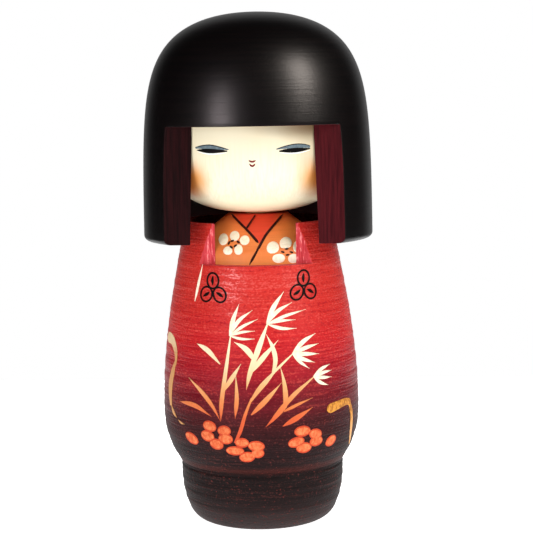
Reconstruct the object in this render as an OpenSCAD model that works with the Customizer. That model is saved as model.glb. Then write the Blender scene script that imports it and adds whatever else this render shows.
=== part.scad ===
// Turned wooden kokeshi doll.
//
// The frame: +Z is up, the origin is the centre of the flat resting face, and
// the doll looks along -Y. Every piece is turned about the Z axis. The hair and
// the kimono are then sawn flat in front, which bares the face and the collar.

/* [Whole doll] */
// Height of the crown above the resting face
doll_h = 155; // [150:1:170]

/* [Hair] */
// Outer radius of the hair at its lower rim
hair_r = 35; // [34:0.5:38]
// Height of the lower rim
rim_z = 86.7; // [85:0.1:88]
// Height of the straight fringe
fringe_z = 121.2; // [119:0.1:125]
// Distance from the axis to the flats sawn on the side locks
lock_front = 22.8; // [20:0.1:25]
// Depth over which the crown closes to its tip
crown_len = 11.5; // [10:0.5:13]
// Radius of the rounding around the outer rim
rim_round = 1.6; // [0.5:0.1:2.5]

/* [Face block] */
// Radius of the seat glued into the hair
seat_r = 28.8; // [28.5:0.1:30]
// Height of the top of the face block inside the hair
seat_top_z = 131; // [128:1:135]
// Radius of the face below the fringe
face_r = 28.5; // [28:0.1:28.5]
// Height at which the cheeks start to round in
cheek_z = 116.4; // [112:0.1:118]
// Height of the underside of the chin
chin_z = 94.7; // [94.7:0.1:97]
// Squareness of the rounding from cheek to chin, where 2 is an ellipse
chin_square = 2.6; // [2.2:0.1:3.5]

/* [Collar plug] */
// Radius of the plug, which fills the bore of the kimono
collar_r = 21.75; // [21:0.05:21.8]
// Height of the plug's lower end
collar_bottom_z = 60; // [50:1:70]
// Height at which the shoulder meets the bore
shoulder_z = 84.4; // [83:0.1:86]
// Radius of the neck at the top of the shoulder
neck_r = 9.7; // [8:0.1:11]

/* [Kimono body] */
// Radius of the belly at its widest
belly_r = 30.2; // [29:0.1:32]
// Height of the widest place
belly_z = 34.8; // [32:0.1:37]
// Height of the kimono's upper edge
kimono_top_z = 92.6; // [91:0.1:93]
// Distance from the axis to the flat sawn in front of the collar
kimono_front = 18.3; // [16:0.1:20]
// Height of the ledge below the collar
ledge_z = 80.5; // [78:0.1:82]

/* [Foot] */
// Radius of the foot's upright side
foot_r = 25.1; // [24.9:0.1:26]
// Height of the foot up to the waist groove
foot_h = 17.2; // [16:0.1:17.5]
// Radius of the flat resting face
rest_r = 17.5; // [14:0.5:20]

/* [Neck dowel] */
// Radius of the dowel between collar and head
dowel_r = 4; // [3:0.5:5]
// How deep the dowel is glued into the collar plug
dowel_in_collar = 16; // [12:1:20]
// How far the dowel reaches into the head
dowel_in_head = 14; // [12:1:20]
// Radial clearance on which the head turns
turning_clearance = 0.05; // [0.02:0.01:0.1]

/* [Hidden] */

// Facets of a plain circle; the turned faces are exact at any such number
$fn = 96;
// Air left below the chin, so that the head turns freely
chin_gap = 0.3;
// Height of the top of the neck
neck_z = chin_z - chin_gap;
// Radius at the rim of the bore in the hair, which opens a little downwards
bore_rim_r = seat_r + 0.7;
// Height at which the bore of the hair starts to open
bore_open_z = fringe_z - 3;
// Power of the crown's curve
crown_power = 0.463;
// Number of steps along one curve of a profile
steps = 24;
// Radius of the rounding between shoulder and plug side
shoulder_round = 2.5;
// Drop of the radius above the belly, and the height over which it builds up
upper_drop = 14.4;
upper_len = 48.7;
// Drop of the radius from the belly to the waist, and the power of that curve
waist_drop = 5.8;
waist_power = 2.26;
// Height where the belly's curve ends in the cove above the foot
waist_z = foot_h + 1.6;
// Depth of the cove inside the foot's side
cove_depth = 0.25;
// Height over which the foot rounds in to the resting face
foot_round_h = 15.5;
// Power of the foot's rounding
foot_power = 0.4;
// Chamfer on the ends of the dowel
dowel_chamfer = 0.6;
// Room left above the end of the dowel
dowel_end_gap = 0.8;
// Oversize of the blocks that saw the flats
cut = 100;

// Points of a circular arc of radius r about c, from angle a0 to a1
function arc(c, r, a0, a1, n) =
    [for (i = [0 : n]) let (a = a0 + (a1 - a0) * i / n) c + r * [cos(a), sin(a)]];

// Outer radius of the hair at height z
function crown_r(z) =
    hair_r * pow(1 - exp((z - doll_h) / crown_len), crown_power);

// Outer radius of the kimono at height z, above the waist
function kimono_r(z) =
    z > belly_z
    ? belly_r - upper_drop * (sqrt(1 + pow((z - belly_z) / upper_len, 2)) - 1)
    : belly_r - waist_drop * pow((belly_z - z) / (belly_z - foot_h), waist_power);

// Outer radius of the foot at height z
function foot_side_r(z) =
    z > foot_round_h
    ? foot_r
    : rest_r + (foot_r - rest_r) * pow(1 - pow(1 - z / foot_round_h, 2), foot_power);

// Profile of the hair, from the outer rim up to the crown's tip. The steps
// shorten towards the tip, where the curve is steepest.
function hair_profile() = concat(
    arc([crown_r(rim_z) - rim_round, rim_z + rim_round], rim_round, -90, 0, 6),
    [for (i = [1 : 2 * steps])
        let (z = doll_h - (doll_h - rim_z - rim_round) * pow(1 - i / (2 * steps), 2.4))
        [crown_r(z), z]]
);

// Profile of the rounding from cheek to chin
function chin_profile() = [
    for (i = [0 : steps - 1])
    let (a = 90 * i / steps, p = 2 / chin_square)
    [face_r * pow(cos(a), p), cheek_z - (cheek_z - chin_z) * pow(sin(a), p)]
];

// Outer profile of the kimono and its foot, from the resting face upwards
function kimono_profile() = concat(
    [for (i = [0 : steps / 2]) let (z = foot_round_h * pow(i / (steps / 2), 2)) [foot_side_r(z), z]],
    [[foot_r, foot_h]],
    [for (i = [1 : 3]) [
        foot_r - cove_depth * sin(45 * i),
        foot_h + (waist_z - foot_h) * i / 5
    ]],
    [for (i = [0 : steps / 2]) let (z = waist_z + (belly_z - waist_z) * i / (steps / 2)) [kimono_r(z), z]],
    [for (i = [1 : steps]) let (z = belly_z + (kimono_top_z - belly_z) * i / steps) [kimono_r(z), z]]
);

// Waste sawn off in front of the plane y = -front, between two heights
module front_waste(front, bottom_z, top_z) {
    translate([-cut / 2, -front - cut, bottom_z])
        cube([cut, cut, top_z - bottom_z]);
}

// Round blind hole about the Z axis
module hole(r, bottom_z, top_z) {
    translate([0, 0, bottom_z])
        cylinder(r = r, h = top_z - bottom_z);
}

// The doll's body: kimono and foot in one piece, bored for the collar
module kimono_body() {
    color("firebrick")
    difference() {
        rotate_extrude()
            polygon(concat([[0, 0]], kimono_profile(), [[0, kimono_top_z]]));
        hole(collar_r, collar_bottom_z, kimono_top_z + 1);
        front_waste(kimono_front, ledge_z, kimono_top_z + 1);
    }
}

// Plug glued into the kimono. Its shoulder and front are the inner kimono.
module collar_plug() {
    slope = atan2(neck_z - shoulder_z, collar_r - neck_r);
    lift = shoulder_round * tan((90 - slope) / 2);
    color("darkorange")
    difference() {
        rotate_extrude()
            polygon(concat(
                [[0, collar_bottom_z], [collar_r, collar_bottom_z]],
                arc([collar_r - shoulder_round, shoulder_z - lift], shoulder_round, 0, 90 - slope, 6),
                [[neck_r, neck_z], [0, neck_z]]
            ));
        hole(dowel_r, neck_z - dowel_in_collar, neck_z + 1);
    }
}

// Dowel glued into the collar, on which the head turns
module neck_dowel() {
    bottom_z = neck_z - dowel_in_collar;
    top_z = chin_z + dowel_in_head;
    tip_r = dowel_r - dowel_chamfer;
    color("burlywood")
    rotate_extrude()
        polygon([
            [0, bottom_z],
            [tip_r, bottom_z],
            [dowel_r, bottom_z + dowel_chamfer],
            [dowel_r, top_z - dowel_chamfer],
            [tip_r, top_z],
            [0, top_z]
        ]);
}

// Pale block whose front is the face, with a seat glued into the hair
module face_block() {
    color("antiquewhite")
    difference() {
        rotate_extrude()
            polygon(concat(
                [[0, seat_top_z], [seat_r, seat_top_z], [seat_r, fringe_z], [face_r, fringe_z]],
                chin_profile(),
                [[0, chin_z]]
            ));
        hole(dowel_r + turning_clearance, chin_z - 1, chin_z + dowel_in_head + dowel_end_gap);
    }
}

// Thick turned hair with a straight fringe and two flat side locks
module hair_cap() {
    color([0.12, 0.07, 0.07])
    difference() {
        rotate_extrude()
            polygon(concat([[0, rim_z]], hair_profile(), [[0, doll_h]]));
        hole(seat_r, bore_open_z - 1, seat_top_z);
        translate([0, 0, rim_z])
            cylinder(r1 = bore_rim_r, r2 = seat_r, h = bore_open_z - rim_z);
        front_waste(lock_front, rim_z - 1, fringe_z);
    }
}

kimono_body();
collar_plug();
neck_dowel();
face_block();
hair_cap();
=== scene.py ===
"""The finished look of a turned and painted kokeshi doll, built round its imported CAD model.

Shapes are worked out in millimetres, as the CAD is, and become metres where a point is made.
The doll looks along -Y, and +X is its own left. A place on the kimono is (around, up): the arc
length from the front line towards +X, and the height above the resting face. A place on the
collar or the face is (across, up): the distance towards +X, and the height.
"""
import math
import random

import bmesh
import bpy
from mathutils import Matrix, Vector


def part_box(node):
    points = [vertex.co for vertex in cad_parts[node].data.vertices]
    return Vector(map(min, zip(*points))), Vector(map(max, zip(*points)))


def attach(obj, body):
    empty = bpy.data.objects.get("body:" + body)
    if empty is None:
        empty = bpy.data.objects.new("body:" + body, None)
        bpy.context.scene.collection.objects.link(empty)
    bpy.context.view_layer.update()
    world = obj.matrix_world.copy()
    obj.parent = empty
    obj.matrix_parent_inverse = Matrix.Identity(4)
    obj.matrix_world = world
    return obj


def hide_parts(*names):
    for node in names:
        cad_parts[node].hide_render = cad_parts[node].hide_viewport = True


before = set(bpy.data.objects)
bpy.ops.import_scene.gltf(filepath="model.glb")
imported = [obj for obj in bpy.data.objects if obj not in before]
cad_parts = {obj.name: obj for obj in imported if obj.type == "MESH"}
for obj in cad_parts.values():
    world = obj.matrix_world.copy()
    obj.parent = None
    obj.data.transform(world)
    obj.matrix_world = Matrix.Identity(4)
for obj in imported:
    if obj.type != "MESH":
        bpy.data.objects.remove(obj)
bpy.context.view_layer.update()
scene = bpy.context.scene

# -------- sizes

MM = 0.001
# How finely the pieces are divided: round the axis, and along each curve of an outline
TURN_STEPS = 160
FOOT_STEPS = 24
SHOULDER_STEPS = 8
CHIN_STEPS = 48
RIM_STEPS = 6
LOCK_STEPS = 14
CROWN_STEPS = 48
# How much the crown's steps shorten towards its tip, where the curve is steepest
CROWN_CROWDING = 2.4
# Air between two glued pieces, so that their faces don't lie in one another
GLUE_LINE = 0.02
# How far a point may lie from a saw cut and still be drawn onto it
SAW_SNAP = 0.2
# How far a point may lie from a plane and still count as being on it
TOUCH = 0.01
# A face with this many corners is a sawn flat, and stays flat in the light
FLAT_CORNERS = 9
# How wide the finest tip of a brush stroke stays, and how thick the paint is
TIP_WIDTH = 0.12
PAINT_DEPTH = 0.12
# How sharply a leaf narrows to its tip, where 1 is the bluntest
LEAF_TAPER = 1.2
# How far along a stroke to look, as a share of it, to tell which way it goes
LOOK_AHEAD = 0.004
# How far the lights stand from the doll, and half the width of the floor, in metres
LIGHT_DISTANCE = 0.9
FLOOR_REACH = 0.22
WHITE = (1, 1, 1, 1)


def corners(node):
    """Lowest and highest corner of a CAD node, in millimetres."""
    low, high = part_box(node)
    return low / MM, high / MM


kimono_low, kimono_high = corners("kimono_body")
collar_low, collar_high = corners("collar_plug")
dowel_low, dowel_high = corners("neck_dowel")
face_low, face_high = corners("face_block")
hair_low, hair_high = corners("hair_cap")

# Hair
rim_z = hair_low.z
crown_z = hair_high.z
hair_r = 35.0
# Depth over which the crown closes to its tip, and the power of that curve
crown_len = 11.5
crown_power = 0.463
rim_round = 1.6
fringe_z = 121.2
lock_front = 22.8
# The bore starts to open a little below the fringe, and is wider at the rim
bore_flare = 0.7
bore_rim_r = face_high.x + bore_flare
bore_open_z = fringe_z - 3.0

# Face block
seat_r = face_high.x
seat_top_z = face_high.z
chin_z = face_low.z
face_r = 28.5
cheek_z = 116.4
# Squareness of the rounding from cheek to chin, where 2 is an ellipse
chin_square = 2.6

# Collar plug and dowel
collar_r = collar_high.x
collar_bottom_z = collar_low.z
neck_z = collar_high.z
neck_r = 9.7
shoulder_z = 84.4
shoulder_round = 2.5
shoulder_slope = math.atan2(neck_z - shoulder_z, collar_r - neck_r)
round_turn = math.pi / 2 - shoulder_slope
round_start_z = shoulder_z - shoulder_round * math.tan(round_turn / 2)
round_end_z = round_start_z + shoulder_round * math.sin(round_turn)
dowel_clearance = 0.05
dowel_hole_r = dowel_high.x + dowel_clearance
dowel_end_gap = 0.8

# Kimono and foot
belly_r = kimono_high.x
belly_z = 34.8
kimono_top_z = kimono_high.z
kimono_front = 18.3
ledge_z = 80.5
# How much narrower the kimono gets above the belly, and over what height
upper_drop = 14.4
upper_len = 48.7
# How much narrower it gets from the belly to the waist, and the power of that curve
waist_drop = 5.8
waist_power = 2.26
foot_r = 25.1
foot_h = 17.2
waist_z = foot_h + 1.6
# The cove between foot and waist: its depth, and how far round its curve each step is
cove_depth = 0.25
cove_turns = (20, 65, 110, 150, 150)
rest_r = 17.5
# Height over which the foot rounds in to the resting face, and the power of that curve
foot_round_h = 15.5
foot_power = 0.4

# How deep the turning tool scores the wood, and how far apart its marks lie
score_depth = 0.18
score_pitch = 0.7


# -------- turned outlines


def crown_radius(z):
    """Outer radius of the hair."""
    return hair_r * (1 - math.exp((z - crown_z) / crown_len)) ** crown_power


def kimono_radius(z):
    """Outer radius of the kimono above the waist."""
    if z > belly_z:
        return belly_r - upper_drop * (math.hypot(1, (z - belly_z) / upper_len) - 1)
    return belly_r - waist_drop * ((belly_z - z) / (belly_z - foot_h)) ** waist_power


def foot_radius(z):
    """Outer radius of the foot below the waist."""
    if z > foot_round_h:
        return foot_r
    return rest_r + (foot_r - rest_r) * (1 - (1 - z / foot_round_h) ** 2) ** foot_power


def face_radius(z):
    """Radius of the face, which rounds in from the cheeks to the chin."""
    drop = max(0.0, (cheek_z - z) / (cheek_z - chin_z))
    return face_r * max(0.0, 1 - drop**chin_square) ** (1 / chin_square)


def collar_radius(z):
    """Radius of the collar plug: an upright side, a rounding and a sloping shoulder."""
    if z < round_start_z:
        return collar_r
    if z < round_end_z:
        return collar_r - shoulder_round + math.sqrt(shoulder_round**2 - (z - round_start_z) ** 2)
    return collar_r + (neck_r - collar_r) * (z - shoulder_z) / (neck_z - shoulder_z)


def arc(centre, radius, start, end, steps):
    """Points of a circular arc, with its angles in degrees."""
    turns = [math.radians(start + (end - start) * i / steps) for i in range(steps + 1)]
    return [(centre[0] + radius * math.cos(a), centre[1] + radius * math.sin(a)) for a in turns]


def scored(radius, low, high, chance):
    """Points up a turned side, each cut in a little by the tool."""
    points = []
    z = low
    while z < high:
        points.append((radius(z) - chance.uniform(0, score_depth), z))
        z += score_pitch * chance.uniform(0.5, 1.5)
    return points


def steps_between(low, high, count):
    """Evenly spaced heights, both ends included."""
    return [low + (high - low) * i / count for i in range(count + 1)]


def hair_outline():
    """The rounded rim, the outside up to the crown, and the bore for the face block."""
    rim_r = crown_radius(rim_z) - rim_round
    upper_z = rim_z + rim_round
    outside = arc((rim_r, upper_z), rim_round, -90, 0, RIM_STEPS)
    outside += [(crown_radius(z), z) for z in steps_between(upper_z, fringe_z, LOCK_STEPS)[1:]]
    for i in range(1, CROWN_STEPS):
        z = crown_z - (crown_z - fringe_z) * (1 - i / CROWN_STEPS) ** CROWN_CROWDING
        outside.append((crown_radius(z), z))
    bore_r = seat_r + GLUE_LINE
    bore = [(0, crown_z), (0, seat_top_z), (bore_r, seat_top_z), (bore_r, fringe_z)]
    bore += [(bore_r, bore_open_z), (bore_rim_r, rim_z), (rim_r, rim_z)]
    return outside + bore


def face_outline():
    """The seat in the hair, the rounding from cheek to chin, and the hole for the dowel."""
    chin = []
    for i in range(CHIN_STEPS):
        angle = math.pi / 2 * i / CHIN_STEPS
        radius = face_r * math.cos(angle) ** (2 / chin_square)
        height = cheek_z - (cheek_z - chin_z) * math.sin(angle) ** (2 / chin_square)
        if radius > dowel_hole_r + 1:
            chin.append((radius, height))
    hole_top_z = dowel_high.z + dowel_end_gap
    seat = [(0, seat_top_z), (seat_r, seat_top_z), (seat_r, fringe_z), (face_r, fringe_z)]
    hole = [(dowel_hole_r, chin_z), (dowel_hole_r, hole_top_z), (0, hole_top_z)]
    return seat + chin + hole


def collar_outline():
    """The plug's side, the rounded shoulder, the eased edge of the neck, and the dowel's hole."""
    side = [(0, collar_bottom_z), (collar_r, collar_bottom_z)]
    centre = (collar_r - shoulder_round, round_start_z)
    shoulder = arc(centre, shoulder_round, 0, math.degrees(round_turn), SHOULDER_STEPS)
    neck = [(neck_r - 0.4, neck_z - 0.15), (neck_r - 1.2, neck_z), (dowel_hole_r, neck_z)]
    hole = [(dowel_hole_r, dowel_low.z), (0, dowel_low.z)]
    return side + shoulder + neck + hole


def kimono_outline(chance):
    """Foot, cove, belly and shoulders, scored by the tool except at their edges, and the bore."""
    rounding = [foot_round_h * (i / FOOT_STEPS) ** 2 for i in range(FOOT_STEPS // 2)]
    foot = [(foot_radius(z), z) for z in rounding]
    foot += scored(foot_radius, rounding[-1] + score_pitch, foot_h - 0.3, chance)
    foot.append((foot_r, foot_h - 0.3))
    cove = []
    for turned, height in zip(cove_turns, steps_between(foot_h, waist_z, len(cove_turns))):
        cove.append((foot_r - cove_depth * math.sin(math.radians(turned)), height))
    lower = scored(kimono_radius, waist_z, ledge_z - 0.2, chance)
    upper = scored(kimono_radius, ledge_z + 0.4, kimono_top_z - 0.4, chance)
    ledge = [(kimono_radius(ledge_z), ledge_z)]
    bore_r = collar_r + GLUE_LINE
    top = [(kimono_radius(kimono_top_z), kimono_top_z), (bore_r, kimono_top_z)]
    bore = [(bore_r, ledge_z), (bore_r, collar_bottom_z), (0, collar_bottom_z)]
    return [(0, 0)] + foot + cove + lower + ledge + upper + top + bore


# -------- wood on the bench


def turn(outline):
    """A piece turned on the lathe from an outline of (radius, height)."""
    bm = bmesh.new()
    points = [bm.verts.new((radius * MM, 0, height * MM)) for radius, height in outline]
    edges = [bm.edges.new(pair) for pair in zip(points, points[1:])]
    bmesh.ops.spin(
        bm,
        geom=points + edges,
        cent=(0, 0, 0),
        axis=(0, 0, 1),
        angle=math.tau,
        steps=TURN_STEPS,
        use_merge=True,
    )
    bmesh.ops.remove_doubles(bm, verts=bm.verts, dist=0.001 * MM)
    # Where the outline runs along the axis it leaves edges without faces
    loose = [e for e in bm.edges if e.is_wire]
    bmesh.ops.delete(bm, geom=loose, context="EDGES")
    bmesh.ops.recalc_face_normals(bm, faces=bm.faces)
    return bm


def saw(bm, front, level, waste_side, rounding):
    """Saws off what stands before y = -front, above (+1) or below (-1) a level, and closes the cut.

    The outline must have a ring of points at that level. The new flat faces get finish 1.
    """

    def in_waste(face):
        return waste_side * (face.calc_center_median().z - level * MM) > 0

    waste = [f for f in bm.faces if in_waste(f)]
    around = {e for f in waste for e in f.edges} | {v for f in waste for v in f.verts}
    cut = bmesh.ops.bisect_plane(
        bm,
        geom=waste + list(around),
        dist=SAW_SNAP * MM,
        plane_co=(0, -front * MM, 0),
        plane_no=(0, -1, 0),
    )
    # The cut's points go back to exactly where the flat meets the turned side
    for v in cut["geom_cut"]:
        if isinstance(v, bmesh.types.BMVert):
            half_width = math.sqrt(v.co.x**2 + v.co.y**2 - (front * MM) ** 2)
            v.co = (math.copysign(half_width, v.co.x), -front * MM, v.co.z)
    chips = [f for f in bm.faces if in_waste(f) and f.calc_center_median().y < -front * MM]
    bmesh.ops.delete(bm, geom=chips, context="FACES")

    def on_front(v):
        return abs(v.co.y + front * MM) < TOUCH * MM

    def on_level(v):
        return abs(v.co.z - level * MM) < TOUCH * MM

    rims = [e for e in bm.edges if e.is_boundary]
    for side in (-1, 1):
        ends = {v for e in rims for v in e.verts if on_front(v) and on_level(v)}
        pair = [v for v in ends if v.co.x * side > 0]
        rims.append(bm.edges.new(pair))
    flats = []
    for belongs in (
        on_level,
        lambda v: on_front(v) and v.co.x < 0,
        lambda v: on_front(v) and v.co.x > 0,
    ):
        loop = [e for e in rims if all(belongs(v) for v in e.verts)]
        flats += bmesh.ops.edgeloop_fill(bm, edges=loop, mat_nr=1)["faces"]
    bmesh.ops.recalc_face_normals(bm, faces=bm.faces)
    bmesh.ops.bevel(
        bm,
        geom=list({e for f in flats for e in f.edges}),
        offset=rounding * MM,
        affect="EDGES",
        segments=3,
        profile=0.5,
        material=-1,
        clamp_overlap=True,
    )


def soften(bm, crease):
    """Shades a piece smooth, except over edges sharper than an angle in degrees."""
    for face in bm.faces:
        face.smooth = len(face.verts) < FLAT_CORNERS
    for edge in bm.edges:
        edge.smooth = not (edge.is_manifold and edge.calc_face_angle() > math.radians(crease))


def make_piece(name, bm, body, slot, *finishes, stands_for=None):
    """Hands a mesh over to the scene as a piece that rides on a body.

    If it stands for a CAD node, that node is hidden.
    """
    mesh = bpy.data.meshes.new(name)
    bm.to_mesh(mesh)
    bm.free()
    for finish in finishes:
        mesh.materials.append(finish.material)
    piece = bpy.data.objects.new(name, mesh)
    scene.collection.objects.link(piece)
    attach(piece, body)
    if stands_for:
        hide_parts(stands_for)


# -------- brushwork


def around_surface(radius):
    """Carries (around, up) onto a turned side."""

    def place(around, up, lift):
        angle = around / radius(up)
        out = radius(up) + lift
        return Vector((out * math.sin(angle), -out * math.cos(angle), up)) * MM

    return place


def across_surface(radius):
    """Carries (across, up) onto a turned side, straight from the front."""

    def place(across, up, lift):
        angle = math.asin(max(-1.0, min(1.0, across / radius(up))))
        out = radius(up) + lift
        return Vector((out * math.sin(angle), -out * math.cos(angle), up)) * MM

    return place


on_kimono = around_surface(kimono_radius)
on_collar = across_surface(collar_radius)
on_face = across_surface(face_radius)


def glide(points, share, closed=False):
    """A place on the smooth line through some points, at a share of its length."""
    spans = len(points) if closed else len(points) - 1
    reach = (share % 1.0 if closed else min(max(share, 0.0), 1.0)) * spans
    first = min(int(reach), spans - 1)
    t = reach - first

    def point(i):
        if closed:
            return Vector(points[i % len(points)])
        if i < 0:
            return 2 * Vector(points[0]) - Vector(points[1])
        if i >= len(points):
            return 2 * Vector(points[-1]) - Vector(points[-2])
        return Vector(points[i])

    before, start, end, after = (point(first + k) for k in (-1, 0, 1, 2))
    straight = end - before
    bend = 2 * before - 5 * start + 4 * end - after
    twist = 3 * start - before - 3 * end + after
    return start + 0.5 * (straight * t + bend * t**2 + twist * t**3)


# A stroke's shape is a function: at a share of the stroke's length, it gives the share of its
# full width


def leaf(peak=0.45, root=0.0, tip=0.0):
    """A leaf's shape: full at its peak, down to a share of that at its root and at its tip."""

    def shape(share):
        if share < peak:
            return root + (1 - root) * math.sin(math.pi / 2 * share / peak)
        closing = math.cos(math.pi / 2 * (share - peak) / (1 - peak))
        return tip + (1 - tip) * closing**LEAF_TAPER

    return shape


def line_width(share):
    """A brush line, rounded at both ends."""
    return min(1.0, 12 * share + 0.25, 12 * (1 - share) + 0.25)


def lapel_width(share):
    """A brush line that presses harder towards its end."""
    return line_width(share) * (0.7 + 0.3 * share)


def curled_width(share):
    """A blunt curled frond: round at both ends, and narrower towards its stem."""
    end = 0.14
    nearest = min(share, 1 - share, end)
    return (1 - 0.4 * share) * math.sqrt(1 - (1 - nearest / end) ** 2)


def round_width(share):
    """A round dab."""
    return math.sqrt(max(0.0, 1 - (2 * share - 1) ** 2))


def lash_width(share):
    """A line that is half as wide at its ends."""
    return 0.5 + 0.5 * round_width(share)


def stroke(bm, surface, points, width, shape, lift=0.05, closed=False, steps=18, ribs=4):
    """One stroke of paint along a line of points: a thin closed skin that follows a surface.

    It stands up from the surface along its middle by about its lift, and its sides dip under.
    """
    made = bmesh.ops.create_grid(bm, x_segments=steps, y_segments=ribs, size=0.5)["verts"]
    faces = list({f for v in made for f in v.link_faces})
    for v in made:
        share = v.co.x + 0.5
        if not closed:
            # The steps are shortest at both ends, which may be pointed or round
            share = 0.5 - 0.5 * math.cos(math.pi * share)
        side = 2 * v.co.y
        spot = glide(points, share, closed)
        behind = glide(points, share - LOOK_AHEAD, closed)
        ahead = (glide(points, share + LOOK_AHEAD, closed) - behind).normalized()
        spot += Vector((-ahead.y, ahead.x)) * side / 2 * max(width * shape(share), TIP_WIDTH)
        v.co = surface(spot.x, spot.y, lift * (1.2 - 1.4 * side**2))
    bmesh.ops.remove_doubles(bm, verts=made, dist=TOUCH / 2 * MM)
    faces = [f for f in faces if f.is_valid]
    under = bmesh.ops.extrude_face_region(bm, geom=faces, use_keep_orig=True)["geom"]
    for v in under:
        if isinstance(v, bmesh.types.BMVert):
            v.co -= Vector((v.co.x, v.co.y, 0)).normalized() * PAINT_DEPTH * MM


def dab(bm, surface, centre, length, width, tilt=0.0, lift=0.06):
    """An oval dab of paint; its length is tilted up by an angle in degrees."""
    half = Vector((math.cos(math.radians(tilt)), math.sin(math.radians(tilt)))) * length / 2
    ends = [Vector(centre) - half, Vector(centre) + half]
    stroke(bm, surface, ends, width, round_width, lift, steps=12, ribs=6)


def ring(bm, surface, centre, length, width, tilt, line):
    """An oval drawn with a line."""
    turned = Matrix.Rotation(math.radians(tilt), 2)
    points = []
    count = 16
    for i in range(count):
        angle = math.tau * i / count
        oval = Vector((math.cos(angle) * length / 2, math.sin(angle) * width / 2))
        points.append(Vector(centre) + turned @ oval)
    stroke(bm, surface, points, line, lambda share: 1.0, closed=True, steps=32, ribs=2)


def bent(start, end, bend):
    """Start, middle and end of a stroke whose middle stands to the left of its way."""
    start, end = Vector(start), Vector(end)
    way = end - start
    left = Vector((-way.y, way.x)).normalized()
    return [start, (start + end) / 2 + left * bend, end]


def toward(start, length, heading):
    """The place at a distance from start. A heading is in degrees from straight up, towards +X."""
    angle = math.radians(heading)
    return Vector(start) + Vector((math.sin(angle), math.cos(angle))) * length


# -------- shader maths


def paint(red, green, blue):
    """A paint's colour from its screen values of 0 to 255."""

    def linear(value):
        share = value / 255
        return share / 12.92 if share <= 0.04045 else ((share + 0.055) / 1.055) ** 2.4

    return (linear(red), linear(green), linear(blue), 1.0)


class Flow:
    """A socket in a finish. Arithmetic on it adds Math nodes."""

    def __init__(self, finish, socket):
        self.finish = finish
        self.socket = socket

    def math(self, operation, *values):
        """The outcome of a Math node."""
        return self.finish.node("ShaderNodeMath", {"operation": operation}, dict(enumerate(values)))

    def __add__(self, other):
        return self.math("ADD", self, other)

    def __sub__(self, other):
        return self.math("SUBTRACT", self, other)

    def __rsub__(self, other):
        return self.math("SUBTRACT", other, self)

    def __mul__(self, other):
        return self.math("MULTIPLY", self, other)

    def __truediv__(self, other):
        return self.math("DIVIDE", self, other)

    def __pow__(self, other):
        return self.math("POWER", self, other)

    def __abs__(self):
        return self.math("ABSOLUTE", self)

    __radd__ = __add__
    __rmul__ = __mul__

    def rise(self, low, high):
        """Goes smoothly from 0 at low to 1 at high. It falls if low is above high."""
        return self.finish.node(
            "ShaderNodeMapRange",
            {"interpolation_type": "SMOOTHSTEP"},
            {"Value": self, "From Min": low, "From Max": high},
        )

    def output(self, name):
        """Another output of the same node."""
        return Flow(self.finish, self.socket.node.outputs[name])


class Finish:
    """A finish being mixed: a material, and the places in millimetres that its patterns follow."""

    def __init__(self, name, **fixed):
        self.material = bpy.data.materials.new(name)
        self.material.use_nodes = True
        self.tree = self.material.node_tree
        self.shader = self.tree.nodes["Principled BSDF"]
        for socket, value in fixed.items():
            self.shader.inputs[socket.replace("_", " ")].default_value = value
        place = self.node("ShaderNodeTexCoord", output="Object")
        self.place = self.node(
            "ShaderNodeVectorMath", {"operation": "SCALE"}, {0: place, "Scale": 1 / MM}
        )
        self.across = self.node("ShaderNodeSeparateXYZ", {}, {0: self.place}, output="X")
        self.depth = self.across.output("Y")
        self.up = self.across.output("Z")

    def node(self, kind, settings=None, sockets=None, output=0):
        """Adds a node: first its settings, then the values or links of its sockets."""
        made = self.tree.nodes.new(kind)
        for setting, value in (settings or {}).items():
            if setting == "stops":
                self.set_stops(made.color_ramp, value)
            else:
                setattr(made, setting, value)
        for socket, value in (sockets or {}).items():
            if isinstance(value, Flow):
                self.tree.links.new(value.socket, made.inputs[socket])
            else:
                made.inputs[socket].default_value = value
        return Flow(self, made.outputs[output])

    def set_stops(self, ramp, stops):
        """Gives a colour ramp its stops, each a position from 0 to 1 and a colour."""
        while len(ramp.elements) < len(stops):
            ramp.elements.new(0.5)
        for element, (position, colour) in zip(ramp.elements, stops):
            element.position = position
            element.color = colour

    def ramp(self, value, stops):
        """A colour by a value. Each stop is a value and the colour there, from low to high."""
        low, high = stops[0][0], stops[-1][0]
        spread = [((at - low) / (high - low), colour) for at, colour in stops]
        return self.node("ShaderNodeValToRGB", {"stops": spread}, {0: (value - low) / (high - low)})

    def noise(self, grain, detail=3.0, rough=0.55, shift=0.0):
        """Noise from 0 to 1, whose grain has a size along X, Y and Z in millimetres."""
        place = self.node(
            "ShaderNodeMapping",
            {},
            {0: self.place, "Location": (shift, shift, shift), "Scale": tuple(1 / g for g in grain)},
        )
        sockets = {"Vector": place, "Scale": 1.0, "Detail": detail, "Roughness": rough}
        return self.node("ShaderNodeTexNoise", {}, sockets)

    def mix(self, share, first, second):
        """Colours mixed by a share from 0 to 1."""
        sockets = {0: share, 6: first, 7: second}
        return self.node("ShaderNodeMix", {"data_type": "RGBA"}, sockets, output=2)

    def feed(self, socket, value):
        """Lets a value steer one of the finish's own sockets."""
        self.tree.links.new(value.socket, self.shader.inputs[socket])

    def emboss(self, height, depth):
        """Relief of a depth in millimetres, from a height of 0 to 1."""
        relief = self.node("ShaderNodeBump", {}, {"Height": height, "Distance": depth * MM})
        self.feed("Normal", relief)


# -------- finishes


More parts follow.
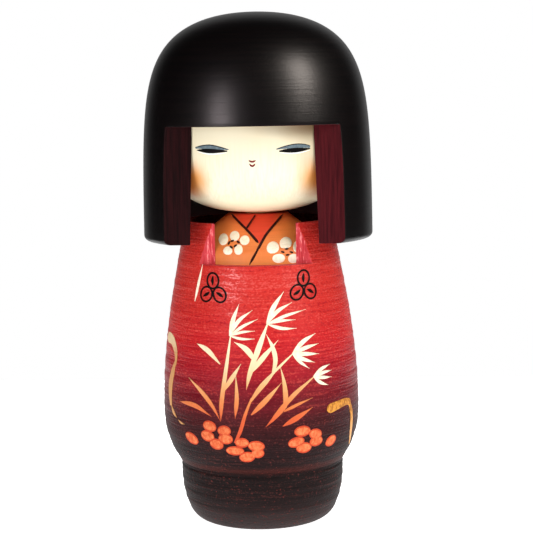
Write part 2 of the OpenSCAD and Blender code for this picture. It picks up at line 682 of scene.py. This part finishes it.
def hair_lacquer():
    """Black lacquer with a trace of brown in the turning rings."""
    finish = Finish("hair_lacquer", Specular_IOR_Level=0.4)
    rings = finish.noise((26, 26, 0.5), 4, 0.6)
    pores = finish.noise((1.6, 1.6, 0.28), 2, 0.5, 7)
    tone = finish.mix(rings.rise(0.3, 0.75), paint(4, 3, 4), paint(12, 6, 6))
    finish.feed("Base Color", tone)
    finish.feed("Roughness", 0.3 + 0.08 * rings + 0.04 * pores)
    finish.emboss(rings * 0.7 + pores * 0.3, 0.05)
    return finish


def hair_stain():
    """Dark red stain on the sawn locks, painted redder on the doll's left where the lights from that
    side fall, and darker on its right as painted shade.
    """
    finish = Finish("hair_stain", Specular_IOR_Level=0.04)
    grain = finish.noise((0.7, 4, 14), 4, 0.6, 3)
    deep = finish.mix(grain.rise(0.3, 0.7), paint(22, 8, 9), paint(38, 12, 14))
    red = finish.mix(grain.rise(0.3, 0.7), paint(52, 12, 17), paint(76, 20, 25))
    # Painted light and shade: redder towards the doll's left, darker towards its right
    finish.feed("Base Color", finish.mix(finish.across.rise(-24, 24), deep, red))
    finish.feed("Roughness", 0.45 + 0.12 * grain)
    finish.emboss(grain, 0.06)
    return finish


def face_wood():
    """Pale waxed wood with a rouged cheek on either side, painted shade at the fringe and down the
    face's edge on the doll's left, and a chin painted paler as painted bounce light from below and
    orange at its very edge, partly as painted reflection of the orange collar.
    """
    finish = Finish("face_wood", Specular_IOR_Level=0.3)
    fibre = finish.noise((0.55, 1.6, 16), 4, 0.6)
    cloud = finish.noise((9, 9, 18), 2, 0.5, 4)
    pale = finish.mix(fibre.rise(0.35, 0.75), paint(240, 232, 205), paint(233, 220, 188))
    # Painted shade: the wood darkens towards the fringe
    pale = finish.mix(finish.up.rise(107, 119), pale, paint(230, 219, 190))
    # Painted shade down the face's edge on the doll's left, next to the lock
    edge = finish.across.rise(8, 19) * finish.up.rise(106, 112)
    pale = finish.mix(edge * 0.7, pale, paint(198, 180, 146))
    pale = finish.mix(cloud.rise(0.45, 0.8) * 0.3, pale, paint(234, 212, 172))
    # The rouge is a soft oval about the middle of each cheek
    sideways = abs(finish.across)
    distance = (((sideways - 18.5) / 6.5) ** 2 + ((finish.up - 105.4) / 7.0) ** 2) ** 0.5
    blush = (distance + 0.5 * (cloud - 0.5)).rise(1.2, 0.2) * finish.depth.rise(0, -6)
    # The rouge goes deeper towards the locks, partly painted shade where the locks shade the sides
    # of the cheeks
    rouge_and_shade = finish.mix(sideways.rise(15, 20), paint(230, 160, 86), paint(212, 110, 36))
    tone = finish.mix(blush, pale, rouge_and_shade)
    # Painted bounce light: the chin gets paler below, and at its very edge orange, partly a painted
    # reflection of the orange collar under it
    height = finish.up + 1.5 * (cloud - 0.5)
    tone = finish.mix(height.rise(101, 97.5) * 0.9, tone, paint(255, 243, 208))
    tone = finish.mix(height.rise(96.2, 94.6) * 0.9, tone, paint(252, 172, 96))
    # The fringe's shade reaches lower on the doll's left
    right = finish.across.rise(-6, 22)
    shade = (0.1 + 0.9 * right) * height.rise(118.8 - 4.2 * right, 121.2)
    tone = finish.mix(shade, tone, paint(116, 88, 56))
    finish.feed("Base Color", tone)
    finish.feed("Roughness", 0.5 + 0.1 * fibre)
    finish.emboss(fibre, 0.03)
    return finish


def collar_orange():
    """The orange kimono under the red one, and the red collar in its V."""
    finish = Finish("collar_orange", Specular_IOR_Level=0.25)
    streak = finish.noise((0.8, 0.8, 9), 4, 0.6)
    rings = finish.noise((20, 20, 0.4), 3, 0.6, 5)
    height = finish.up + 2.4 * (streak - 0.5)
    # Yellower low down and redder at the neck; the stops under the chin are painted brighter as
    # painted light against the chin's shade
    orange = finish.ramp(
        height,
        [
            (79, paint(238, 150, 76)),
            (84.5, paint(226, 121, 59)),
            (87, paint(238, 134, 67)),
            (92, paint(255, 134, 68)),
            (94.5, paint(255, 100, 56)),
        ],
    )
    # The inner collar shows in the V between the two lapels
    down = neck_z - finish.up
    left_lapel = down * (1.27 - 0.017 * down) - 7.8
    rise = finish.up - 86.4
    right_lapel = rise * (0.62 + 0.025 * rise) + 1.6
    inside = (finish.across - left_lapel).rise(-0.1, 0.1)
    inside = inside * (right_lapel - finish.across).rise(-0.1, 0.1) * finish.depth.rise(0, -2)
    tone = finish.mix(inside, orange, paint(228, 72, 46))
    tone = finish.mix(rings.rise(0.35, 0.8) * 0.16, tone, paint(150, 50, 22))
    # Painted light brightens the shoulders, which the chin and hair shade, and they turn red where
    # they meet the bore
    painted_light_shoulders = abs(finish.across).rise(4.5, 9.5) * finish.up.rise(85, 90)
    tone = finish.mix(painted_light_shoulders * 0.6, tone, paint(255, 150, 72))
    tone = finish.mix(abs(finish.across).rise(11.5, 15) * 0.75, tone, paint(222, 66, 40))
    finish.feed("Base Color", tone)
    finish.feed("Roughness", 0.4 + 0.12 * rings)
    finish.emboss(rings * 0.6 + streak * 0.4, 0.05)
    return finish


def kimono_lacquer():
    """Red lacquer that fades to near black at the foot, streaked by the lathe, with a painted
    reflection of the floor at its bottom, a painted sheen in the waist's cove and painted shade in
    the bore.
    """
    finish = Finish("kimono_lacquer", Specular_IOR_Level=0.12, Coat_Roughness=0.34)
    rings = finish.noise((15, 15, 0.6), 3, 0.6)
    bands = finish.noise((45, 45, 3.4), 3, 0.55, 11)
    grain = finish.noise((0.7, 0.7, 0.5), 2, 0.6, 23)
    height = finish.up + 7 * (rings - 0.5) + 5 * (bands - 0.5) + 9 * (grain - 0.5)
    # Red fading to near black at the foot; at the very bottom it turns greyer and lighter, a painted
    # reflection of the floor
    body = finish.ramp(
        height,
        [
            (2, paint(48, 38, 38)),
            (8, paint(27, 14, 14)),
            (17, paint(17, 6, 6)),
            (26, paint(32, 9, 11)),
            (34, paint(58, 11, 16)),
            (41, paint(100, 12, 25)),
            (49, paint(154, 19, 33)),
            (58, paint(195, 31, 35)),
            (70, paint(204, 48, 41)),
            (92, paint(203, 48, 40)),
        ],
    )
    # Painted sheen: the cove at the waist is painted a lighter brown where it catches the light
    cove = (abs(finish.up - waist_z - 0.8) - 0.8 * (bands - 0.5)).rise(1.7, 0.2)
    tone = finish.mix(cove * 0.5, body, paint(74, 26, 20))
    # Pale and deep lathe lines, and small dots low down
    high = finish.up.rise(28, 58)
    streak = 0.5 * rings + 0.5 * grain
    pale = finish.mix(high, paint(74, 34, 30), paint(226, 76, 68))
    deep = finish.mix(high, paint(8, 3, 3), paint(158, 10, 26))
    tone = finish.mix(streak.rise(0.52, 0.64) * 0.6, tone, pale)
    tone = finish.mix(streak.rise(0.47, 0.36) * 0.7, tone, deep)
    dot = grain.rise(0.64, 0.74) * finish.up.rise(66, 30)
    tone = finish.mix(dot * 0.45, tone, paint(140, 52, 44))
    # Painted shade: inside the bore, under the chin, the lacquer is painted dark
    out = (finish.across**2 + finish.depth**2) ** 0.5
    bore = out.rise(collar_r + 0.6, collar_r + 0.3) * finish.up.rise(ledge_z - 1, ledge_z)
    tone = finish.mix(bore * 0.9, tone, paint(14, 3, 3))
    finish.feed("Base Color", tone)
    finish.feed("Roughness", 0.24 + 0.2 * bands + 0.25 * finish.up.rise(48, 22))
    # The lathe lines break the lacquer's gleam into short glints
    finish.feed("Coat Weight", streak.rise(0.5, 0.6) * finish.up.rise(56, 74))
    finish.emboss(rings * 0.6 + grain * 0.4, 0.5)
    return finish


def kimono_sawn():
    """The sawn flats: red stain over open grain."""
    finish = Finish("kimono_sawn", Specular_IOR_Level=0.25)
    grain = finish.noise((0.35, 0.35, 5), 4, 0.65, 2)
    fleck = finish.noise((0.4, 0.4, 1.2), 2, 0.6, 8)
    tone = finish.mix(grain.rise(0.3, 0.7), paint(176, 24, 34), paint(218, 70, 78))
    tone = finish.mix((0.6 * grain + 0.4 * fleck).rise(0.54, 0.64), tone, paint(244, 148, 148))
    finish.feed("Base Color", tone)
    finish.feed("Roughness", 0.42 + 0.15 * grain)
    finish.emboss(grain, 0.1)
    return finish


def brush_paint(name, colour_at, worn=0.3):
    """Opaque brush paint. colour_at gives its colour from the finish and its streaks.

    Where the lathe lines wear it, the ground darkens it by the share worn.
    """
    finish = Finish(name, Specular_IOR_Level=0.12)
    streak = finish.noise((0.9, 0.9, 1.4), 4, 0.65, 9)
    rings = finish.noise((30, 30, 0.45), 4, 0.65)
    tone = finish.mix(rings.rise(0.45, 0.2) * worn, colour_at(finish, streak), paint(120, 50, 24))
    finish.feed("Base Color", tone)
    finish.feed("Roughness", 0.45 + 0.12 * streak)
    finish.emboss(rings * 0.5 + streak * 0.5, 0.05)
    return finish


def grass_colour(finish, streak):
    height = finish.up + 3 * (streak - 0.5)
    return finish.ramp(
        height,
        [
            (29, paint(198, 72, 42)),
            (36, paint(210, 92, 52)),
            (41, paint(222, 130, 74)),
            (46, paint(232, 170, 112)),
            (51, paint(240, 210, 164)),
            (58, paint(247, 232, 196)),
        ],
    )


def ear_colour(finish, streak):
    return finish.mix(streak.rise(0.3, 0.75), paint(250, 246, 222), paint(240, 226, 190))


def blossom_colour(finish, streak):
    return finish.mix(streak.rise(0.35, 0.7), paint(206, 86, 46), paint(230, 134, 84))


def gold_colour(finish, streak):
    """Gold, paler at its low ends, on the doll's right and at the tip of the curl."""
    height = finish.up + 8 * (streak - 0.5)
    tone = finish.mix(streak.rise(0.4, 0.6), paint(222, 152, 62), paint(168, 104, 40))
    tone = finish.mix(height.rise(35, 28), tone, paint(226, 168, 108))
    tone = finish.mix(finish.across.rise(-5, -15), tone, paint(206, 150, 96))
    tip = (finish.up - 0.4 * finish.across).rise(62, 68)
    return finish.mix(tip, tone, paint(232, 202, 160))


def plum_colour(finish, streak):
    return finish.mix(streak.rise(0.35, 0.75), paint(255, 246, 222), paint(250, 226, 200))


def plain_colour(light, deep):
    """A colour function for a paint that only wavers between two tones."""
    return lambda finish, streak: finish.mix(streak.rise(0.35, 0.7), light, deep)


def bare_wood():
    finish = Finish("bare_wood", Specular_IOR_Level=0.3)
    fibre = finish.noise((0.5, 0.5, 9), 4, 0.6)
    finish.feed("Base Color", finish.mix(fibre, paint(222, 184, 132), paint(184, 140, 92)))
    finish.feed("Roughness", 0.55 + 0.15 * fibre)
    finish.emboss(fibre, 0.05)
    return finish


# -------- the doll's pieces


def make_hair():
    bm = turn(hair_outline())
    saw(bm, lock_front, fringe_z, waste_side=-1, rounding=0.4)
    soften(bm, crease=50)
    finishes = hair_lacquer(), hair_stain()
    make_piece("hair", bm, "head", "hair_lacquer", *finishes, stands_for="hair_cap")


def make_face():
    bm = turn(face_outline())
    soften(bm, crease=40)
    make_piece("face", bm, "head", "face_wood", face_wood(), stands_for="face_block")


def make_collar():
    bm = turn(collar_outline())
    soften(bm, crease=40)
    make_piece("collar", bm, "body", "collar_paint", collar_orange(), stands_for="collar_plug")


def make_kimono():
    bm = turn(kimono_outline(random.Random(5)))
    saw(bm, kimono_front, ledge_z, waste_side=1, rounding=0.25)
    soften(bm, crease=50)
    finishes = kimono_lacquer(), kimono_sawn()
    make_piece("kimono", bm, "body", "kimono_lacquer", *finishes, stands_for="kimono_body")


def paint_piece(name, body, slot, finish, strokes):
    """A painted motif: strokes is a function that draws them all into a bmesh."""
    bm = bmesh.new()
    strokes(bm)
    bmesh.ops.recalc_face_normals(bm, faces=bm.faces)
    soften(bm, crease=60)
    make_piece(name, bm, body, slot, finish)


# Ears of grass: the place where the blades meet, then each blade's length, heading, width
# and bend
EARS = [
    (
        (-7.7, 60.5),
        [
            (9.6, 18, 1.32, 0.3),
            (10.2, 43, 1.14, 0.9),
            (9.9, 60, 0.88, 0.4),
            (7.8, 79, 0.79, 0.4),
            (7.6, 96, 0.75, -0.4),
        ],
    ),
    (
        (3.3, 64),
        [
            (10.4, 30, 1.41, 0.5),
            (9.6, 53, 1.14, 0.8),
            (12.6, 74, 0.92, 0.4),
            (8.8, 85, 0.79, 0.3),
            (9.2, 101, 0.97, -0.6),
        ],
    ),
    (
        (10.9, 55),
        [
            (9.4, 56, 1.41, 0.7),
            (9.2, 76, 1.19, 0.3),
            (9.0, 95, 1.19, 0.0),
            (7.9, 113, 1.19, -0.3),
            (7.2, 131, 0.97, -0.3),
        ],
    ),
    (
        (17.7, 47.8),
        [(7.0, 66, 1.14, 0.5), (7.2, 82, 1.06, 0.2), (7.0, 98, 1.06, -0.2), (6.4, 120, 1.06, -0.5)],
    ),
]

# Stems and leaves: the places that each goes through, its width, where it is widest, and how
# wide its two ends stay
BLADES = [
    ([(-10.8, 35.5), (-10.3, 42), (-8.5, 53), (-7.3, 60.7)], 1.38, 0.3, 0.0, 0.25),
    ([(-9.7, 44.5), (-6.9, 48.5), (-4.3, 52.5)], 1.38, 0.4, 0.4, 0.0),
    ([(-2.8, 45), (-1.9, 49), (0, 54.8)], 1.56, 0.85, 0.0, 0.7),
    ([(-0.7, 52.5), (1.3, 58), (3.7, 64.2)], 1.66, 0.35, 0.5, 0.2),
    ([(-0.2, 53.5), (-2.8, 56.8), (-6.3, 58.8)], 1.66, 0.4, 0.5, 0.0),
    ([(-1.2, 50.2), (2.3, 54.4), (6.7, 59.2)], 1.56, 0.4, 0.4, 0.0),
    ([(-6.5, 29), (-4.7, 33), (-3.3, 37.5), (-1.3, 42.5)], 1.1, 0.4, 0.7, 0.5),
    ([(-2, 41), (0.7, 44.8), (3.2, 47.6), (5.9, 50.6)], 1.47, 0.5, 0.3, 0.3),
    ([(4.3, 49), (8, 52.4), (11.3, 55.2)], 0.74, 0.3, 0.6, 0.35),
    ([(5.1, 49.6), (5.8, 53.4), (5.1, 57), (3.2, 61)], 1.38, 0.5, 0.6, 0.0),
    ([(2.7, 34), (6.1, 37.5), (9.3, 41.2)], 1.66, 0.75, 0.0, 0.6),
    ([(7.5, 39.2), (11.7, 43.4), (17.7, 47.6)], 1.38, 0.35, 0.5, 0.25),
    ([(8.5, 39.4), (8.7, 43.2), (8.2, 47.4), (7.2, 51.6)], 1.47, 0.3, 0.6, 0.0),
    ([(8.1, 38.4), (12.7, 40.2), (17.3, 41.6)], 0.92, 0.3, 0.5, 0.0),
    ([(-18.9, 57.6), (-14.9, 55.9), (-10.7, 52.2)], 1.56, 0.5, 0.0, 0.2),
    ([(-22.3, 47.2), (-17.7, 44), (-13.7, 40), (-10.8, 35.4)], 1.38, 0.5, 0.0, 0.0),
    ([(-26.9, 39.6), (-19.8, 39.2), (-13.8, 36.6)], 1.47, 0.45, 0.0, 0.0),
    ([(-5.9, 49.2), (-5.7, 42.5), (-6.3, 36.4)], 1.29, 0.65, 0.0, 0.0),
    ([(-1.5, 37.6), (3.2, 42.2), (7.5, 46.8)], 1.56, 0.35, 0.2, 0.0),
    ([(7.7, 34), (12.3, 36.3), (17.3, 38.8)], 1.66, 0.4, 0.1, 0.0),
]

# Blossoms: each petal's centre, length, width and tilt
PETALS = [
    (-14.6, 33.6, 4.3, 3.0, -10),
    (-15.4, 30.6, 4.4, 3.1, -10),
    (-9.8, 32.6, 3.9, 2.9, 0),
    (-9.4, 30.2, 4.2, 3.0, -5),
    (-12.4, 28.3, 4.2, 3.1, -10),
    (-21.7, 29.0, 5.4, 3.0, -20),
    (-4.4, 29.2, 3.9, 2.7, 0),
    (-0.2, 28.2, 4.6, 3.0, -5),
    (-6.6, 26.6, 5.2, 2.6, 0),
    (0.2, 26.0, 3.4, 2.9, 0),
    (-3, 24.7, 4.4, 3.1, 8),
    (13.8, 32.0, 4.9, 3.0, 0),
    (18.2, 30.6, 4.2, 3.0, -10),
    (11.8, 28.8, 4.9, 2.9, 12),
    (18.4, 28.4, 4.3, 3.0, 5),
    (14.2, 26.8, 4.7, 3.1, 0),
    (24.2, 27.5, 4.4, 2.9, 24),
]

# Crests: the middle of each, round which three ovals stand
CRESTS = [(-13.1, 73.5), (15.0, 73.9)]

# The two plum flowers on the collar: each petal's centre, width and height
PLUM_PETALS = [
    (-9.7, 87.6, 2.9, 3.1),
    (-6.3, 88.6, 2.9, 2.7),
    (-3.2, 87.5, 2.9, 2.6),
    (-4.9, 84.9, 2.5, 3.0),
    (-8.1, 84.6, 2.8, 2.4),
    (5.2, 85.3, 3.6, 3.5),
    (8.9, 86.4, 3.5, 3.3),
    (12.4, 85.2, 2.6, 3.4),
    (6.9, 82.3, 3.7, 3.0),
    (11.2, 82.0, 3.2, 3.0),
]

# Their stamens: each one's centre and tilt
PLUM_STAMENS = [
    (-7.9, 86.7, 60),
    (-6.9, 87.3, 20),
    (-5.1, 87.0, -30),
    (-5.9, 86.0, 30),
    (-7.1, 85.6, -30),
    (9.2, 84.9, 0),
    (8.1, 84.1, -20),
    (10.6, 83.9, -20),
    (9.5, 83.2, 5),
]


def draw_ears(bm):
    for place, blades in EARS:
        for length, heading, width, bend in blades:
            path = bent(place, toward(place, length, heading), bend)
            stroke(bm, on_kimono, path, width, leaf(0.42, 0.15), 0.05)


def draw_grass(bm):
    for path, width, peak, root, tip in BLADES:
        stroke(bm, on_kimono, path, width, leaf(peak, root, tip), 0.045)


def draw_blossom_rims(bm):
    for around, up, length, width, tilt in PETALS:
        dab(bm, on_kimono, (around, up), length + 0.35, width + 0.35, tilt, 0.035)


def draw_blossoms(bm):
    for around, up, length, width, tilt in PETALS:
        dab(bm, on_kimono, (around, up), length, width, tilt)


def draw_bracken(bm):
    """Two young fronds: a bowed one with a broken tail, and one bent over at its head."""
    curled = [(-38, 57.4), (-32.2, 57), (-29.5, 53.8), (-29.4, 50)]
    stroke(bm, on_kimono, curled, 3.2, leaf(0.12, 0.6, 0.25), 0.05)
    stalk = [(-29.3, 51.5), (-31.7, 47), (-33.3, 42.5), (-32.8, 37.3)]
    stroke(bm, on_kimono, stalk, 3.0, leaf(0.6, 0.25, 0.5), 0.05)
    stroke(bm, on_kimono, bent((-32.4, 37.4), (-28.9, 34.2), -0.3), 1.3, leaf(), 0.05)
    stroke(bm, on_kimono, bent((-28, 33.8), (-24.6, 32.9), -0.3), 0.6, leaf(), 0.05)
    head = [(22.6, 37.3), (27, 37.9), (31.2, 38.3), (34.6, 37.8)]
    stroke(bm, on_kimono, head, 3.0, curled_width, 0.06, steps=28)
    stem = [(31.4, 38.4), (34.3, 36.8), (35.6, 33), (35.5, 28), (36.4, 23.6)]
    stroke(bm, on_kimono, stem, 1.9, leaf(0.65, 0.5, 0.3), 0.05)


def draw_sliver(bm):
    path = [(-17, 80.6), (-18.4, 75.5), (-20, 69.8)]
    stroke(bm, on_kimono, path, 0.95, leaf(0.65, 0.0, 0.25), 0.05)


def draw_crests(bm):
    """Each crest is three veined ovals, one above and one to either side below."""
    for middle in CRESTS:
        for heading, slant in ((0, 90), (-120, 50), (120, -50)):
            centre = toward(middle, 2.65, heading)
            ring(bm, on_kimono, centre, 4.5, 4.0, slant, 0.55)
            vein = bent(toward(centre, -1.3, heading), toward(centre, 1.3, heading), 0.1)
            stroke(bm, on_kimono, vein, 0.9, leaf(0.5, 0.2, 0.3), 0.06)


def draw_lapels(bm):
    right = [(7.9, 94.2), (5.1, 91.2), (3.1, 88.9), (1.6, 86.4), (-1.7, 80.6)]
    left = [(-7.8, 94.4), (-2.6, 90.2), (0.9, 86.8)]
    inner = [(-0.3, 94.4), (-2.8, 90.7)]
    for path, width in ((right, 0.85), (left, 0.75), (inner, 0.6)):
        stroke(bm, on_collar, path, width, lapel_width, 0.09, steps=44)


def draw_plum_petals(bm):
    for across, up, width, height in PLUM_PETALS:
        dab(bm, on_collar, (across, up), width, height, 0, 0.08)


def draw_plum_stamens(bm):
    for across, up, tilt in PLUM_STAMENS:
        dab(bm, on_collar, (across, up), 1.15, 0.6, tilt, 0.07)


def draw_lids(bm):
    left = [(-16.6, 115.1), (-14.6, 115.35), (-12.2, 115.4), (-9.6, 115.0), (-6.7, 114.6)]
    right = [(7.0, 114.5), (9.6, 115.0), (12.4, 115.3), (14.8, 115.25), (16.6, 114.9)]
    stroke(bm, on_face, left, 1.3, leaf(0.42, 0.35, 0.2), 0.03)
    stroke(bm, on_face, right, 1.3, leaf(0.58, 0.2, 0.55), 0.03)


def draw_lashes(bm):
    left = [(-16.7, 115.2), (-14.7, 115.7), (-12.2, 115.95), (-9.6, 115.45), (-6.7, 114.6)]
    right = [(7.0, 114.5), (9.6, 115.3), (12.4, 115.8), (14.8, 115.7), (16.6, 115.2)]
    for path in (left, right):
        stroke(bm, on_face, path, 0.34, lash_width, 0.045)


def draw_eyes(bm):
    left = [(-16.2, 114.45), (-14, 114.3), (-11.9, 114.22), (-9.4, 114.2), (-7.1, 114.15)]
    right = [(7.8, 113.9), (10, 114.0), (12.2, 114.1), (14.4, 114.2), (16.6, 114.4)]
    stroke(bm, on_face, left, 1.5, leaf(0.45, 0.15, 0.25), 0.05)
    stroke(bm, on_face, right, 1.5, leaf(0.5, 0.25, 0.2), 0.05)


def draw_eye_light(bm):
    left = [(-16.0, 114.0), (-14, 113.55), (-11.9, 113.35), (-9.4, 113.45), (-7.3, 113.75)]
    right = [(8.0, 113.5), (10, 113.25), (12.2, 113.2), (14.4, 113.45), (16.5, 113.95)]
    for path in (left, right):
        stroke(bm, on_face, path, 0.36, leaf(0.5, 0.3, 0.3), 0.03)


def draw_mouth(bm):
    """Two lips, each a shallow V of two strokes that overlap a little in the middle."""
    centre = 0.05
    for half, low, high in ((1.0, 111.0, 111.45), (0.85, 109.7, 110.5)):
        for side in (-1, 1):
            start = (centre - 0.1 * side, low)
            bend = (centre + side * half * 0.55, low + (high - low) * 0.4)
            end = (centre + side * half, high)
            stroke(bm, on_face, [start, bend, end], 0.6, leaf(0.3, 0.8, 0.3), 0.04, steps=8)


def make_brushwork():
    motif = brush_paint("motif_paint", grass_colour)
    ears = brush_paint("ear_paint", ear_colour)
    cream = brush_paint("plum_paint", plum_colour)
    blossom = brush_paint("blossom_paint", blossom_colour)
    gold = brush_paint("gold_paint", gold_colour)
    rims = brush_paint("blossom_rim_paint", plain_colour(paint(188, 58, 32), paint(208, 78, 42)))
    ink = brush_paint("ink", plain_colour(paint(1, 1, 2), paint(7, 5, 6)), 0)
    maroon = brush_paint("maroon_ink", plain_colour(paint(36, 7, 8), paint(60, 16, 14)), 0)
    lid = brush_paint("lid_paint", plain_colour(paint(88, 102, 112), paint(110, 126, 132)), 0)
    lip = brush_paint("lip_paint", plain_colour(paint(96, 10, 16), paint(128, 22, 26)), 0)
    white = brush_paint("white_paint", plain_colour(paint(255, 255, 255), paint(246, 246, 246)), 0)
    paint_piece("grass", "body", "motif_paint", motif, draw_grass)
    paint_piece("grass_ears", "body", "motif_paint", ears, draw_ears)
    paint_piece("blossom_rims", "body", "motif_paint", rims, draw_blossom_rims)
    paint_piece("blossoms", "body", "motif_paint", blossom, draw_blossoms)
    paint_piece("bracken", "body", "gold_paint", gold, draw_bracken)
    paint_piece("sliver", "body", "motif_paint", cream, draw_sliver)
    paint_piece("crests", "body", "ink", ink, draw_crests)
    paint_piece("lapels", "body", "ink", maroon, draw_lapels)
    paint_piece("plum_petals", "body", "motif_paint", cream, draw_plum_petals)
    paint_piece("plum_stamens", "body", "ink", maroon, draw_plum_stamens)
    paint_piece("eye_lids", "head", "ink", lid, draw_lids)
    paint_piece("eye_lashes", "head", "ink", ink, draw_lashes)
    paint_piece("eyes", "head", "ink", ink, draw_eyes)
    paint_piece("eye_light", "head", "motif_paint", white, draw_eye_light)
    paint_piece("mouth", "head", "ink", lip, draw_mouth)


def finish_dowel():
    """The dowel keeps its CAD shape and gets bare wood."""
    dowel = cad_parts["neck_dowel"]
    dowel.data.materials.clear()
    dowel.data.materials.append(bare_wood().material)


# -------- studio


def make_floor():
    """A plain white board with an even glow of its own, which keeps it pale."""
    bm = bmesh.new()
    bmesh.ops.create_grid(bm, x_segments=1, y_segments=1, size=FLOOR_REACH)
    mesh = bpy.data.meshes.new("floor")
    bm.to_mesh(mesh)
    bm.free()
    finish = Finish(
        "floor",
        Roughness=0.7,
        Specular_IOR_Level=0.1,
        Emission_Color=WHITE,
        Emission_Strength=1.0,
    )
    tone = finish.noise((60, 60, 60), 3, 0.5)
    finish.feed("Base Color", finish.mix(tone, paint(250, 250, 250), paint(246, 246, 246)))
    mesh.materials.append(finish.material)
    floor = bpy.data.objects.new("floor", mesh)
    scene.collection.objects.link(floor)


def softbox(name, azimuth, elevation, size, power, tint=(1, 1, 1), shows_in="diffuse"):
    """An area light that looks at the doll's middle. Azimuth 0 is in front, 90 is at its +X side.

    It lights the doll, or it only shows as a soft gleam in the lacquer.
    """
    light = bpy.data.lights.new(name, "AREA")
    light.shape = "RECTANGLE"
    light.size, light.size_y = size
    light.energy = power
    light.color = tint
    lamp = bpy.data.objects.new(name, light)
    turned, raised = math.radians(azimuth), math.radians(elevation)
    way = Vector(
        (math.sin(turned) * math.cos(raised), -math.cos(turned) * math.cos(raised), math.sin(raised))
    )
    middle = Vector((0, 0, crown_z / 2 * MM))
    lamp.location = middle + way * LIGHT_DISTANCE
    lamp.rotation_euler = way.to_track_quat("Z", "Y").to_euler()
    lamp.visible_camera = False
    lamp.visible_diffuse = shows_in == "diffuse"
    lamp.visible_glossy = shows_in == "gleam"
    scene.collection.objects.link(lamp)


def make_studio():
    """Softboxes all round, in a room that the camera sees as plain white.

    The room itself gives a little even light. The lacquer mirrors it as dark, apart from a pale
    wall behind the doll. The table light stands in for what a wide pale table throws up.
    """
    world = bpy.data.worlds.new("studio")
    world.use_nodes = True
    nodes, links = world.node_tree.nodes, world.node_tree.links

    def blend(value, first, second, start=0.0, end=1.0):
        """Goes from first to second while a value goes from start to end."""
        made = nodes.new("ShaderNodeMapRange")
        made.inputs["From Min"].default_value = start
        made.inputs["From Max"].default_value = end
        for name, source in (("Value", value), ("To Min", first), ("To Max", second)):
            if isinstance(source, bpy.types.NodeSocket):
                links.new(source, made.inputs[name])
            else:
                made.inputs[name].default_value = source
        return made.outputs[0]

    rays = nodes.new("ShaderNodeLightPath")
    way = nodes.new("ShaderNodeTexCoord")
    axes = nodes.new("ShaderNodeSeparateXYZ")
    links.new(way.outputs["Generated"], axes.inputs[0])
    mirrored = blend(axes.outputs["Y"], 0.003, 0.6, start=0.7)
    room = blend(rays.outputs["Is Glossy Ray"], 0.27, mirrored)
    seen = blend(rays.outputs["Is Camera Ray"], room, 1.0)
    nodes["Background"].inputs["Color"].default_value = WHITE
    links.new(seen, nodes["Background"].inputs["Strength"])
    scene.world = world
    softbox("front_light", -2, 27, (0.6, 0.3), 1.08)
    softbox("left_light", -38, 6, (0.3, 0.3), 2.0)
    softbox("low_light", -30, -3, (0.4, 0.2), 0.6)
    softbox("table_light", 0, -22, (1.1, 0.2), 2.8)
    softbox("right_light", 64, 34, (0.4, 0.5), 3.5)
    softbox("right_low_light", 40, 0, (0.3, 0.2), 1.3)
    softbox("back_light", 180, 35, (0.7, 0.7), 2.4)
    softbox("left_gleam", -33, 10, (0.18, 0.22), 3.0, (1.0, 0.88, 0.9), "gleam")
    softbox("right_gleam", 56, 33.5, (0.28, 0.38), 6.2, (1.0, 0.9, 0.82), "gleam")
    scene.view_settings.view_transform = "Standard"


def make_camera():
    """The camera stands a little to the doll's left and looks slightly down."""
    azimuth, pan = math.radians(3.0), math.radians(0.29)
    dip, lean = math.radians(6.53), math.radians(1.0)
    distance, height = 452.8, 129.4
    camera = bpy.data.cameras.new("camera")
    camera.lens = 100
    camera.sensor_width = 36
    camera.clip_start = 0.01
    holder = bpy.data.objects.new("camera", camera)
    place = Vector((distance * math.sin(azimuth), -distance * math.cos(azimuth), height)) * MM
    swing = Matrix.Rotation(azimuth - pan, 4, "Z")
    nod = Matrix.Rotation(math.pi / 2 - dip, 4, "X")
    roll = Matrix.Rotation(-lean, 4, "Z")
    holder.matrix_world = Matrix.Translation(place) @ swing @ nod @ roll
    scene.collection.objects.link(holder)
    scene.camera = holder


make_camera()
make_studio()
make_floor()
make_hair()
make_face()
make_collar()
make_kimono()
make_brushwork()
finish_dowel()
